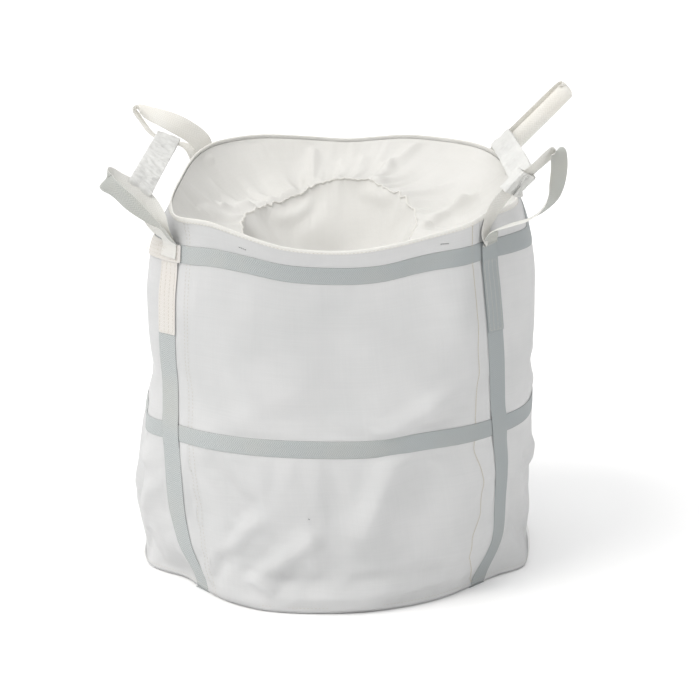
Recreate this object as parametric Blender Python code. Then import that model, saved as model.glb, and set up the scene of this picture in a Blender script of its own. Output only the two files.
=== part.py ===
"""Bulk bag (flexible intermediate bulk container): an open-mouthed woven bag with four
webbing straps, two belts round it, four lift loops tied in pairs by sleeves, and a top panel
whose filling spout is tucked down inside.

Metres, +Z up. The origin is at the centre of the underside, and the front faces -Y.
"""

import math

import bmesh
import bpy

# Driving dimensions, metres and degrees
FABRIC = 0.0015          # wall cloth with its coating
WEBBING = 0.0020         # one layer of belt or strap
GAP = 0.0004             # clearance between touching layers
STRAP_WIDTH = 0.060
LOOP_THICKNESS = 0.003
SEAM_INSET = 0.055       # panel seam, from the middle of the strap beside it
SEAM_GAP = 0.0003        # half the gap between two panels at their seam
SPOUT_RADIUS = 0.225
SPOUT_LENGTH = 0.40
SPOUT_CENTRE = (-0.03, 0.05)
SPOUT_SEAM_Z = 0.965
SPOUT_TILT = 0.33        # rise of the spout's seam for each metre towards the back
SPOUT_CLEARANCE = 0.002  # between the spout and the top panel's edge
CONNECTOR_WIDTH = 0.075
CONNECTOR_INSIDE = 0.009  # room for the strand inside the sleeve
CONNECTOR_START = 0.102  # distance along the loop's inner strand
CONNECTOR_PAST = 0.012   # how far the sleeve reaches past the strand's edge
CONNECTOR_TAPER = 0.006  # length of the sleeve's pinched end
TOP_PANEL_SAG = 0.018
SPOUT_HEM = 0.022

# Heights on the wall are shares: 0 at the floor, 1 at the rim, with both belts at a share of
# their own. Belts and rim sag, so the height of a share differs from angle to angle.
BASE_STRAP_TOP = WEBBING
BASE_Z = 0.0047          # underside of the base panel
WALL_BOTTOM = BASE_Z + FABRIC + GAP
MID_BELT = (0.430, 0.477)
UPPER_BELT = (0.884, 0.930)
HEM_BOTTOM = 0.986
TOP_PANEL_EDGE = 0.974
LEG_BOTTOM = 0.700
BASE_SEAM_TOP = 0.018
WALL_ROWS = (
    BASE_SEAM_TOP, 0.07, 0.14, 0.22, 0.34, *MID_BELT, 0.56, 0.63, LEG_BOTTOM, 0.77, 0.84, *UPPER_BELT,
)

# Heights by angle, in degrees anticlockwise from +X: top edge of each belt, and the rim
MID_BELT_HEIGHTS = (
    (0, 0.506), (45, 0.510), (90, 0.515), (138, 0.510), (180, 0.490), (210, 0.487), (235, 0.496),
    (264, 0.499), (284, 0.499), (298, 0.520), (322, 0.523), (345, 0.508),
)
UPPER_BELT_HEIGHTS = (
    (0, 1.004), (28, 1.025), (45, 1.050), (70, 1.065), (90, 1.052), (120, 1.062), (138, 1.055),
    (160, 1.030), (180, 1.015), (205, 1.000), (225, 0.998), (237, 1.007), (248, 0.994),
    (257, 0.976), (266, 0.970), (278, 0.970), (287, 0.978), (295, 0.998), (303, 1.018),
    (312, 1.031), (328, 1.026), (345, 1.006),
)
RIM_HEIGHTS = (
    (0, 1.086), (28, 1.102), (45, 1.130), (70, 1.142), (90, 1.124), (120, 1.140), (138, 1.134),
    (160, 1.110), (180, 1.094), (205, 1.080), (225, 1.078), (237, 1.085), (248, 1.056),
    (257, 1.030), (266, 1.020), (278, 1.020), (287, 1.035), (295, 1.052), (303, 1.078),
    (312, 1.108), (328, 1.100), (345, 1.084),
)

# Plan section of the wall: height share, half width on the right and on the left, half depth at
# the front and at the back, squareness
SECTIONS = (
    (0.00, 0.560, 0.562, 0.535, 0.530, 2.05),
    (BASE_SEAM_TOP, 0.560, 0.562, 0.535, 0.530, 2.05),
    (0.10, 0.548, 0.575, 0.540, 0.540, 2.08),
    (0.22, 0.550, 0.588, 0.545, 0.545, 2.15),
    (0.34, 0.566, 0.570, 0.545, 0.545, 2.25),
    (0.45, 0.563, 0.548, 0.540, 0.540, 2.40),
    (0.58, 0.563, 0.520, 0.530, 0.535, 2.50),
    (0.80, 0.566, 0.526, 0.507, 0.520, 2.80),
    (0.90, 0.545, 0.500, 0.500, 0.508, 3.00),
    (1.00, 0.497, 0.446, 0.530, 0.492, 3.30),
)
# The straps pull the foot of the wall in at the corners: angle and change of the radius
FOOT = (
    (0, 0.005), (25, 0.020), (43, -0.030), (60, 0.010), (90, 0.005), (120, 0.010), (137, -0.030),
    (155, 0.020), (180, 0.005), (204, 0.022), (217, -0.040), (227, -0.025), (239, 0.005),
    (252, 0.022), (274, 0.005), (301, -0.018), (323, -0.040), (333, -0.028), (342, 0.022),
    (351, 0.009),
)
FOOT_TOP = 0.14          # height share where that change has run out

# Strap by corner, anticlockwise from above: its angle at the height shares below, and which way
# the panel seam lies from it.
STRAP_SHARES = (BASE_SEAM_TOP, 0.06, 0.16, 0.30, 0.45, 0.63, 0.80, 1.0)
CORNERS = {
    "back_right": ((42.0, 42.0, 42.5, 43.0, 43.5, 44.0, 44.5, 45.0), 1),
    "back_left": ((137.0, 137.0, 137.5, 138.0, 138.0, 138.0, 138.0, 138.0), -1),
    "front_left": ((228.0, 226.5, 224.5, 223.0, 221.5, 219.0, 220.5, 221.5), 1),
    "front_right": ((322.5, 327.0, 328.5, 326.0, 322.0, 320.0, 317.0, 314.0), -1),
}
COLUMNS_BETWEEN = 9      # wall columns between two corners

# Lift loops: side, lean of the inner strand, lean and reach of the tip, height share of the root
LOOPS = {
    "back_right": (1, 23.0, 38.0, 0.40, UPPER_BELT[0]),
    "back_left": (-1, 31.0, 38.0, 0.30, UPPER_BELT[0]),
    "front_left": (-1, 31.0, 46.0, 0.22, UPPER_BELT[1]),
    "front_right": (1, 23.0, 38.0, 0.32, UPPER_BELT[1]),
}
LOOP_Z = 1.012           # middle of the webbing at the foot of every loop
LOOP_X = {1: 0.460, -1: -0.465}
LOOP_BULGE = 0.050       # how far the outer strand stands off the straight line to the tip
STRAND_GUIDES = (0.03, 0.08, 0.13, 0.18, 0.205)  # metres along the straight inner strand
LOOP_STEPS = 4           # points from one guide point of the loop to the next


# ---------------------------------------------------------------- materials

def material(name, colour, roughness=0.8):
    made = bpy.data.materials.new(name)
    made.use_nodes = True
    shader = made.node_tree.nodes["Principled BSDF"]
    shader.inputs["Base Color"].default_value = (*colour, 1.0)
    shader.inputs["Roughness"].default_value = roughness
    shader.inputs["Metallic"].default_value = 0.0
    return made


# ---------------------------------------------------------------- the wall's surface

def table_value(table, at):
    """Straight-line value of a table of (position, value) rows, level below its first row."""
    at = max(at, table[0][0])
    for (x0, y0), (x1, y1) in zip(table, table[1:]):
        if at <= x1:
            break
    return y0 + (y1 - y0) * (at - x0) / (x1 - x0)


def ring_value(table, angle):
    """The same round the bag, at an angle in radians."""
    return table_value((*table, (360, table[0][1])), math.degrees(angle) % 360)


def share_height(angle, share):
    levels = (
        (0.0, 0.0),
        (MID_BELT[1], ring_value(MID_BELT_HEIGHTS, angle)),
        (UPPER_BELT[1], ring_value(UPPER_BELT_HEIGHTS, angle)),
        (1.0, ring_value(RIM_HEIGHTS, angle)),
    )
    return table_value(levels, share)


def plan_point(angle, share):
    right, left, front, back, squareness = (
        table_value([(row[0], row[k]) for row in SECTIONS], share) for k in range(1, 6)
    )
    across = abs(math.cos(angle)) / (right if math.cos(angle) > 0 else left)
    along = abs(math.sin(angle)) / (back if math.sin(angle) > 0 else front)
    radius = (across**squareness + along**squareness) ** (-1 / squareness)
    fading = (FOOT_TOP - share) / (FOOT_TOP - BASE_SEAM_TOP)
    radius += ring_value(FOOT, angle) * min(1.0, max(0.0, fading))
    return radius * math.cos(angle), radius * math.sin(angle)


def plan_normal(angle, share):
    step = 0.002
    x0, y0 = plan_point(angle - step, share)
    x1, y1 = plan_point(angle + step, share)
    length = math.hypot(x1 - x0, y1 - y0)
    return (y1 - y0) / length, (x0 - x1) / length


def wall_point(angle, share, out, height=None):
    """A point at a distance outside the wall's middle surface; height replaces the share's own."""
    x, y = plan_point(angle, share)
    nx, ny = plan_normal(angle, share)
    z = share_height(angle, share) if height is None else height
    return x + nx * out, y + ny * out, z


def corner_angle(corner, share):
    return math.radians(table_value(list(zip(STRAP_SHARES, CORNERS[corner][0])), share))


def column_angle(column, share):
    """A column is (corner, metres along the wall from its strap), or a share between two of those."""
    if len(column) == 3:
        first, last, part = column
        a, b = column_angle(first, share), column_angle(last, share)
        if b < a:
            b += 2 * math.pi
        return a + (b - a) * part
    corner, along = column
    angle = corner_angle(corner, share)
    return angle + along / math.hypot(*plan_point(angle, share))


def ring_columns():
    """Every column once, anticlockwise, starting at the back right strap."""
    names = list(CORNERS)
    half = STRAP_WIDTH / 2
    groups = []
    for name in names:
        seam = CORNERS[name][1] * SEAM_INSET
        groups.append([(name, along) for along in sorted([-half, 0.0, half, seam])])
    columns = []
    for group, following in zip(groups, groups[1:] + groups[:1]):
        columns += group
        for i in range(1, COLUMNS_BETWEEN + 1):
            columns.append((group[-1], following[0], i / (COLUMNS_BETWEEN + 1)))
    return columns


# ---------------------------------------------------------------- solids from two sheets

def sheet_solid(name, rows_out, rows_in, finish, ring=False, tube=False):
    """One closed solid between an outer and an inner grid of points, given as rows of columns.
    ring joins the last column to the first, tube joins the last row to the first."""
    count, width = len(rows_out), len(rows_out[0])
    points = [p for rows in (rows_out, rows_in) for row in rows for p in row]
    faces = []

    def index(layer, row, column):
        return layer * count * width + (row % count) * width + column % width

    for r in range(count if tube else count - 1):
        for c in range(width if ring else width - 1):
            # every layer is split along the same diagonal, so that layers stay parallel
            for corners in (((0, 0), (0, 1), (1, 1)), ((0, 0), (1, 1), (1, 0))):
                for layer in (0, 1):
                    faces.append([index(layer, r + dr, c + dc) for dr, dc in corners])
    if not tube:
        for r in (0, count - 1):
            for c in range(width if ring else width - 1):
                quad = [(0, r, c), (0, r, c + 1), (1, r, c + 1), (1, r, c)]
                faces.append([index(*p) for p in quad])
    if not ring:
        for c in (0, width - 1):
            for r in range(count if tube else count - 1):
                quad = [(0, r, c), (0, r + 1, c), (1, r + 1, c), (1, r, c)]
                faces.append([index(*p) for p in quad])
    return solid(name, points, faces, finish)


def solid(name, points, faces, finish):
    """An object from points and faces, with every face turned outwards."""
    mesh = bpy.data.meshes.new(name)
    mesh.from_pydata(points, [], faces)
    shape = bmesh.new()
    shape.from_mesh(mesh)
    bmesh.ops.recalc_face_normals(shape, faces=shape.faces)
    shape.to_mesh(mesh)
    shape.free()
    mesh.shade_smooth()
    mesh.set_sharp_from_angle(angle=math.radians(30))
    made = bpy.data.objects.new(name, mesh)
    mesh.materials.append(finish)
    bpy.context.scene.collection.objects.link(made)
    return made


def wall_layer(name, columns, shares, inner, outer, finish, ring=False, foot=None):
    """A layer of cloth or webbing that follows the wall, from its lowest height share up.
    foot is the height in metres of a first row, below the first share."""
    rows_out, rows_in = [], []
    levels = [(0.0, foot)] if foot is not None else []
    levels += [(share, None) for share in shares]
    for share, height in levels:
        angles = [column_angle(column, share) for column in columns]
        rows_out.append([wall_point(a, share, outer, height) for a in angles])
        rows_in.append([wall_point(a, share, inner, height) for a in angles])
    return sheet_solid(name, rows_out, rows_in, finish, ring=ring)


# ---------------------------------------------------------------- body

def nudged(column, along):
    return (column[0], column[1] + along)


def body_panels(columns, cloth):
    """Four panels of cloth, each from one corner seam to the next."""
    seams = [i for i, c in enumerate(columns) if len(c) == 2 and abs(c[1]) == SEAM_INSET]
    wrapped = columns + columns
    starts = dict(zip(("back_panel", "left_panel", "front_panel", "right_panel"), seams))
    for name, start in starts.items():
        end = next(i for i in range(start + 1, len(wrapped)) if i % len(columns) in seams)
        part = wrapped[start : end + 1]
        part[0] = nudged(part[0], SEAM_GAP)
        part[-1] = nudged(part[-1], -SEAM_GAP)
        shares = [*WALL_ROWS, TOP_PANEL_EDGE, HEM_BOTTOM - 0.001]
        wall_layer(name, part, shares, -FABRIC, 0.0, cloth, foot=WALL_BOTTOM)


def base_panel(columns, cloth):
    """A flat disc of cloth nearly as wide as the wall is at the floor."""
    count = len(columns)
    points = []
    for z in (BASE_Z, BASE_Z + FABRIC):
        points += [wall_point(column_angle(column, 0.0), 0.0, -GAP, z) for column in columns]
    faces = [list(range(count)), list(range(count, 2 * count))]
    for c in range(count):
        after = (c + 1) % count
        faces.append([c, after, count + after, count + c])
    solid("base_panel", points, faces, cloth)


def belts_and_straps(columns, webbing, loop_webbing, thread):
    under = GAP
    wall_layer("base_seam", columns, [BASE_SEAM_TOP], under, under + WEBBING, thread, True,
               foot=BASE_STRAP_TOP + GAP)
    wall_layer("mid_belt", columns, MID_BELT, under, under + WEBBING, webbing, True)
    wall_layer("upper_belt", columns, UPPER_BELT, under, under + WEBBING, webbing, True)
    over = under + WEBBING + GAP
    on_leg = over + WEBBING + GAP
    half = STRAP_WIDTH / 2
    for corner in CORNERS:
        strap = [(corner, along) for along in (-half, 0.0, half)]
        wall_layer(corner + "_strap", strap, WALL_ROWS, over, over + WEBBING, webbing,
                   foot=BASE_STRAP_TOP + GAP)
        top = LOOPS[corner][4]
        leg = [share for share in WALL_ROWS if LEG_BOTTOM <= share <= top]
        leg_paint = webbing if corner == "front_right" else loop_webbing
        wall_layer(corner + "_loop_leg", strap, leg, on_leg, on_leg + 2 * WEBBING, leg_paint)
    on_end = on_leg + 2 * WEBBING + GAP
    end = [("front_left", along) for along in (-half, 0.0, half)]
    wall_layer("upper_belt_end", end, UPPER_BELT, on_end, on_end + WEBBING, webbing)
    end = [("back_left", along) for along in (-half, 0.0, half)]
    wall_layer("mid_belt_end", end, MID_BELT, on_leg, on_leg + WEBBING, webbing)


def base_straps(webbing):
    """Two straps crossing under the base; the second one rises over the first."""
    pairs = (("front_left", "back_right", False), ("front_right", "back_left", True))
    reach = GAP + WEBBING + GAP + WEBBING
    hump = WEBBING + GAP
    for first, last, rises in pairs:
        ends = []
        for corner in (first, last):
            ends.append(wall_point(corner_angle(corner, 0.0), 0.0, reach, 0.0))
        (x0, y0, _), (x1, y1, _) = ends
        length = math.hypot(x1 - x0, y1 - y0)
        side = (-(y1 - y0) / length * STRAP_WIDTH / 2, (x1 - x0) / length * STRAP_WIDTH / 2)
        lower, upper = [], []
        for part, z in ((0.0, 0.0), (0.38, 0.0), (0.43, 1.0), (0.55, 1.0), (0.60, 0.0), (1.0, 0.0)):
            x, y = x0 + (x1 - x0) * part, y0 + (y1 - y0) * part
            z = hump * z if rises else 0.0
            ends = [(x - side[0], y - side[1]), (x + side[0], y + side[1])]
            lower.append([(*p, z) for p in ends])
            upper.append([(*p, z + WEBBING) for p in ends])
        sheet_solid("base_strap_" + first + "_to_" + last, lower, upper, webbing)


def rim_hem(columns, cloth):
    wall_layer("rim_hem", columns, (HEM_BOTTOM, 1.0), -2 * FABRIC, FABRIC, cloth, True)


# ---------------------------------------------------------------- top panel and spout

def spout_plane(y):
    return SPOUT_SEAM_Z + SPOUT_TILT * (y - SPOUT_CENTRE[1])


def spout_ring(angles, radius, drop):
    ring = []
    for a in angles:
        x = SPOUT_CENTRE[0] + radius * math.cos(a)
        y = SPOUT_CENTRE[1] + radius * math.sin(a)
        ring.append((x, y, spout_plane(y) - drop))
    return ring


def top_panel(columns, cloth):
    """The panel hangs from just under the hem and sinks to the edge of the spout."""
    share = TOP_PANEL_EDGE
    angles = [column_angle(column, share) for column in columns]
    edge = [wall_point(a, share, -2 * FABRIC - GAP) for a in angles]
    middle = spout_ring(angles, SPOUT_RADIUS + SPOUT_CLEARANCE, 0.0)
    upper = []
    for part, sag in ((0.0, 0.0), (0.33, TOP_PANEL_SAG), (0.66, TOP_PANEL_SAG), (1.0, 0.0)):
        row = []
        for p, q in zip(edge, middle):
            x, y, z = (a + (b - a) * part for a, b in zip(p, q))
            row.append((x, y, z - sag))
        upper.append(row)
    lower = [[(x, y, z - 2 * FABRIC) for x, y, z in row] for row in upper]
    sheet_solid("top_panel", lower, upper, cloth, ring=True)


def filling_spout(cloth, thread):
    steps = 32
    angles = [2 * math.pi * i / steps for i in range(steps)]
    drops = [SPOUT_LENGTH - SPOUT_HEM, SPOUT_LENGTH / 2, 0.0]
    outer = [spout_ring(angles, SPOUT_RADIUS, d) for d in drops]
    inner = [spout_ring(angles, SPOUT_RADIUS - FABRIC, d) for d in drops]
    sheet_solid("filling_spout", outer, inner, cloth, ring=True)
    drops = [SPOUT_LENGTH, SPOUT_LENGTH - SPOUT_HEM + GAP]
    outer = [spout_ring(angles, SPOUT_RADIUS, d) for d in drops]
    inner = [spout_ring(angles, SPOUT_RADIUS - 2 * FABRIC, d) for d in drops]
    sheet_solid("spout_hem", outer, inner, thread, ring=True)


# ---------------------------------------------------------------- lift loops and their sleeves

def smooth_closed(guides, steps):
    """Points on a closed smooth curve through the guide points (Catmull-Rom)."""
    points = []
    count = len(guides)
    for i in range(count):
        p = [guides[(i + k - 1) % count] for k in range(4)]
        for s in range(steps):
            t = s / steps
            points.append(tuple(
                0.5 * (2 * b + (c - a) * t + (2 * a - 5 * b + 4 * c - d) * t * t
                       + (3 * b - a - 3 * c + d) * t**3)
                for a, b, c, d in zip(*p)
            ))
    return points


def leaning(degrees, reach):
    angle = math.radians(degrees)
    return reach * math.sin(angle), reach * math.cos(angle)


def loop_guides(lean, tip_lean, tip_reach):
    """The loop's middle line: outward from its foot, and up. It runs up the inner strand, which
    is straight where the sleeve holds it, over the tip and down the outer strand."""
    inner = [leaning(lean, s) for s in STRAND_GUIDES]
    tip = [leaning(tip_lean - 3, tip_reach - 0.012), leaning(tip_lean + 3, tip_reach - 0.012)]
    outer = []
    for part in (0.72, 0.38):
        out, up = leaning(tip_lean, tip_reach * part)
        off, lift = leaning(tip_lean + 90, LOOP_BULGE)
        outer.append((out + off, up + lift))
    return [(0.004, 0.0), *inner, *tip, *outer, (0.018, 0.010)]


def strip_ring(name, middle_line, along_y, thickness, finish):
    """A closed band of webbing or cloth whose width runs along Y, round a line given as (x, z)."""
    count = len(middle_line)
    rows_out, rows_in = [], []
    turn = sum(
        x0 * z1 - x1 * z0
        for (x0, z0), (x1, z1) in zip(middle_line, middle_line[1:] + middle_line[:1])
    )
    for i, (x, z) in enumerate(middle_line):
        (x0, z0), (x1, z1) = middle_line[i - 1], middle_line[(i + 1) % count]
        length = math.hypot(x1 - x0, z1 - z0)
        nx, nz = (z1 - z0) / length, (x0 - x1) / length
        if turn < 0:
            nx, nz = -nx, -nz
        half = thickness / 2
        rows_out.append([(x + nx * half, y, z + nz * half) for y in along_y])
        rows_in.append([(x - nx * half, y, z - nz * half) for y in along_y])
    return sheet_solid(name, rows_out, rows_in, finish, tube=True)


def foot_y(corner):
    share = LOOPS[corner][4]
    return wall_point(corner_angle(corner, share), share, 0.0)[1]


def lift_loops(webbing):
    for corner, (side, lean, tip_lean, tip_reach, _) in LOOPS.items():
        guides = loop_guides(lean, tip_lean, tip_reach)
        line = [
            (LOOP_X[side] + side * out, LOOP_Z + up)
            for out, up in smooth_closed(guides, LOOP_STEPS)
        ]
        y = foot_y(corner)
        half = STRAP_WIDTH / 2
        strip_ring(corner + "_lift_loop", line, (y - half, y + half), LOOP_THICKNESS, webbing)


def connector_sleeves(cloth):
    """Each sleeve is a flat tube of cloth from the front loop to the back one. The inner strands
    of the two loops pass through its ends."""
    for side, name in ((-1, "left"), (1, "right")):
        lean = LOOPS["front_" + name][1]
        end = STRAP_WIDTH / 2 + CONNECTOR_PAST
        y0, y1 = foot_y("front_" + name) - end, foot_y("back_" + name) + end
        along, up = leaning(lean, 1.0)
        rows = {}
        for half, spread in ((CONNECTOR_INSIDE / 2 + FABRIC, FABRIC), (CONNECTOR_INSIDE / 2, 0.0)):
            near, far = y0 + CONNECTOR_TAPER, y1 - CONNECTOR_TAPER
            ring = [(y0 - spread, 0.0), (near, -half), (far, -half),
                    (y1 + spread, 0.0), (far, half), (near, half)]
            grid = []
            for s in (CONNECTOR_START, CONNECTOR_START + CONNECTOR_WIDTH):
                row = []
                for y, off in ring:
                    x = LOOP_X[side] + side * (along * s + up * off)
                    row.append((x, y, LOOP_Z + up * s - along * off))
                grid.append(row)
            rows[half] = grid
        outer, inner = rows.values()
        sheet_solid(name + "_connector_sleeve", outer, inner, cloth, ring=True)


# ---------------------------------------------------------------- the whole bag

def main():
    for old in list(bpy.data.objects):
        bpy.data.objects.remove(old, do_unlink=True)
    wall_cloth = material("wall_cloth", (0.82, 0.83, 0.83))
    inner_cloth = material("inner_cloth", (0.84, 0.83, 0.81))
    webbing = material("webbing", (0.62, 0.66, 0.65), 0.7)
    loop_webbing = material("loop_webbing", (0.80, 0.79, 0.76), 0.7)
    thread = material("thread", (0.80, 0.78, 0.73))
    columns = ring_columns()
    body_panels(columns, wall_cloth)
    base_panel(columns, wall_cloth)
    base_straps(webbing)
    belts_and_straps(columns, webbing, loop_webbing, thread)
    rim_hem(columns, wall_cloth)
    top_panel(columns, inner_cloth)
    filling_spout(inner_cloth, thread)
    lift_loops(loop_webbing)
    connector_sleeves(inner_cloth)


main()
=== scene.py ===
"""Looks of the bulk bag: woven cloth, webbing, stitching and light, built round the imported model.

Metres, in the model's own frame: +Z up, the front faces -Y.
"""

import math

import bpy
import numpy as np
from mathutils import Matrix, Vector, noise


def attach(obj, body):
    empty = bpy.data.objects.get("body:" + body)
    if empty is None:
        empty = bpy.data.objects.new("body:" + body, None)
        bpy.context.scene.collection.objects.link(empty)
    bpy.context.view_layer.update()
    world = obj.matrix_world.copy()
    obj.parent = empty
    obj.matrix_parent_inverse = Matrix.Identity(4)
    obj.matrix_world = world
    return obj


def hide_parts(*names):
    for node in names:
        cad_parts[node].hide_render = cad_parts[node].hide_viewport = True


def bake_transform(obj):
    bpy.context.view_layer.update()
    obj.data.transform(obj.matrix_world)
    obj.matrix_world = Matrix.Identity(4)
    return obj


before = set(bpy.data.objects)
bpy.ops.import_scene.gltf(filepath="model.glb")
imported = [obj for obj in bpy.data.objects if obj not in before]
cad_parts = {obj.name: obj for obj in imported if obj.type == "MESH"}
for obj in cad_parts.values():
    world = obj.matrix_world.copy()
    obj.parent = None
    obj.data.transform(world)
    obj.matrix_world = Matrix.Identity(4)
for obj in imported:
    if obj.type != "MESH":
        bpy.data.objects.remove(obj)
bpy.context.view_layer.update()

# ---- dimensions, as in the model

MID_BELT_HEIGHTS = (     # angle, top of the middle belt
    (0, 0.506), (45, 0.510), (90, 0.515), (138, 0.510), (180, 0.490), (210, 0.487), (235, 0.496),
    (264, 0.499), (284, 0.499), (298, 0.520), (322, 0.523), (345, 0.508),
)
BELT_AND_RIM_HEIGHTS = (  # angle, top of the upper belt, rim
    (0, 1.004, 1.086), (28, 1.025, 1.102), (45, 1.050, 1.130), (70, 1.065, 1.142), (90, 1.052, 1.124),
    (120, 1.062, 1.140), (138, 1.055, 1.134), (160, 1.030, 1.110), (180, 1.015, 1.094), (205, 1.000, 1.080),
    (225, 0.998, 1.078), (237, 1.007, 1.085), (248, 0.994, 1.056), (257, 0.976, 1.030), (266, 0.970, 1.020),
    (278, 0.970, 1.020), (287, 0.978, 1.035), (295, 0.998, 1.052), (303, 1.018, 1.078), (312, 1.031, 1.108),
    (328, 1.026, 1.100), (345, 1.006, 1.084),
)
# Plan section of the wall: height share, half width on the right and on the left, half depth at
# the front and at the back, squareness
SECTIONS = np.array([
    (0.00, 0.560, 0.562, 0.535, 0.530, 2.05),
    (0.018, 0.560, 0.562, 0.535, 0.530, 2.05),
    (0.10, 0.548, 0.575, 0.540, 0.540, 2.08),
    (0.22, 0.550, 0.588, 0.545, 0.545, 2.15),
    (0.34, 0.566, 0.570, 0.545, 0.545, 2.25),
    (0.45, 0.563, 0.548, 0.540, 0.540, 2.40),
    (0.58, 0.563, 0.520, 0.530, 0.535, 2.50),
    (0.80, 0.566, 0.526, 0.507, 0.520, 2.80),
    (0.90, 0.545, 0.500, 0.500, 0.508, 3.00),
    (1.00, 0.497, 0.446, 0.530, 0.492, 3.30),
])
FOOT = (
    (0, 0.005), (25, 0.020), (43, -0.030), (60, 0.010), (90, 0.005), (120, 0.010), (137, -0.030),
    (155, 0.020), (180, 0.005), (204, 0.022), (217, -0.040), (227, -0.025), (239, 0.005),
    (252, 0.022), (274, 0.005), (301, -0.018), (323, -0.040), (333, -0.028), (342, 0.022),
    (351, 0.009),
)
FOOT_TOP = 0.14
STRAP_SHARES = (0.018, 0.06, 0.16, 0.30, 0.45, 0.63, 0.80, 1.0)
CORNER_ANGLES = {
    "back_right": (42.0, 42.0, 42.5, 43.0, 43.5, 44.0, 44.5, 45.0),
    "back_left": (137.0, 137.0, 137.5, 138.0, 138.0, 138.0, 138.0, 138.0),
    "front_left": (228.0, 226.5, 224.5, 223.0, 221.5, 219.0, 220.5, 221.5),
    "front_right": (322.5, 327.0, 328.5, 326.0, 322.0, 320.0, 317.0, 314.0),
}
CORNERS = tuple(CORNER_ANGLES)
SEAM_SIDE = {"back_right": 1, "back_left": -1, "front_left": 1, "front_right": -1}
WALL_FOOT = 0.0066       # height of the wall's lowest edge
STRAP_WIDTH = 0.063
MID_BELT = (0.430, 0.477)
UPPER_BELT = (0.884, 0.930)
LEG_BOTTOM = 0.700
HEM_BOTTOM = 0.986
CLOTH = 0.0010           # thickness of the cloth
WEBBING = 0.0022         # thickness of one layer of webbing
SPOUT_LENGTH = 0.40
SPOUT_GIRTH = 1.45       # length of the spout's seam
GIRTH = 3.55             # length of the wall round the bag
WALL_LENGTH = 1.05       # length of the wall from its foot to the rim
SPOUT_CENTRE = (-0.03, 0.05)
SPOUT_SEAM_Z = 0.965

QUARTER = 64             # wall columns from one corner strap to the next
COLUMNS = 4 * QUARTER
ROWS = 78
SEAM_COLUMNS = 4         # from a strap's middle to the panel seam beside it
LAPPED = 2               # columns by which one panel is folded over the next


# ---- the wall's surface

def smooth_step(low, high, x):
    t = np.clip((np.asarray(x, float) - low) / (high - low), 0.0, 1.0)
    return t * t * (3 - 2 * t)


def smoothed(values, width, around=False):
    """A row of numbers blurred by a bell curve of a width in steps."""
    reach = int(3 * width)
    bell = np.exp(-0.5 * (np.arange(-reach, reach + 1) / width) ** 2)
    padded = np.pad(values, reach, mode="wrap" if around else "edge")
    return np.convolve(padded, bell / bell.sum(), mode="valid")


def ring_table(rows, width):
    """Values at every half degree round the bag, blurred so that they have no kinks."""
    angles, values = zip(*rows, (360 + rows[0][0], rows[0][1]))
    return smoothed(np.interp(np.arange(720) / 2, angles, values), width, around=True)


def ring_value(table, angle):
    place = np.degrees(angle) % 360 * 2
    low = np.floor(place).astype(int)
    return table[low % 720] + (table[(low + 1) % 720] - table[low % 720]) * (place - low)


MID_RING = ring_table(MID_BELT_HEIGHTS, 8.0)
UPPER_RING = ring_table([row[:2] for row in BELT_AND_RIM_HEIGHTS], 5.0)
RIM_RING = ring_table([row[::2] for row in BELT_AND_RIM_HEIGHTS], 6.0)
FOOT_RING = ring_table(FOOT, 5.0)
SHARES = np.linspace(0, 1, 201)
SECTION_CURVES = [
    smoothed(np.interp(SHARES, SECTIONS[:, 0], SECTIONS[:, k]), 4.0) for k in range(1, 6)
]
STRAP_CURVES = {
    corner: smoothed(np.interp(SHARES, STRAP_SHARES, angles), 6.0)
    for corner, angles in CORNER_ANGLES.items()
}


def share_height(angle, share):
    """Height of a share of the wall: both belts and the rim have heights of their own."""
    mid, upper, rim = (ring_value(table, angle) for table in (MID_RING, UPPER_RING, RIM_RING))
    low = WALL_FOOT + (mid - WALL_FOOT) * share / MID_BELT[1]
    middle = mid + (upper - mid) * (share - MID_BELT[1]) / (UPPER_BELT[1] - MID_BELT[1])
    high = upper + (rim - upper) * (share - UPPER_BELT[1]) / (1 - UPPER_BELT[1])
    return np.where(share < MID_BELT[1], low, np.where(share < UPPER_BELT[1], middle, high))


def plan(angle, share):
    """Radius of the wall's plan section at an angle and a height share."""
    right, left, front, back, square = (np.interp(share, SHARES, c) for c in SECTION_CURVES)
    across = np.abs(np.cos(angle)) / np.where(np.cos(angle) > 0, right, left)
    along = np.abs(np.sin(angle)) / np.where(np.sin(angle) > 0, back, front)
    foot = ring_value(FOOT_RING, angle) * (1 - smooth_step(0.0, FOOT_TOP, share))
    return (across**square + along**square) ** (-1 / square) + foot


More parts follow.
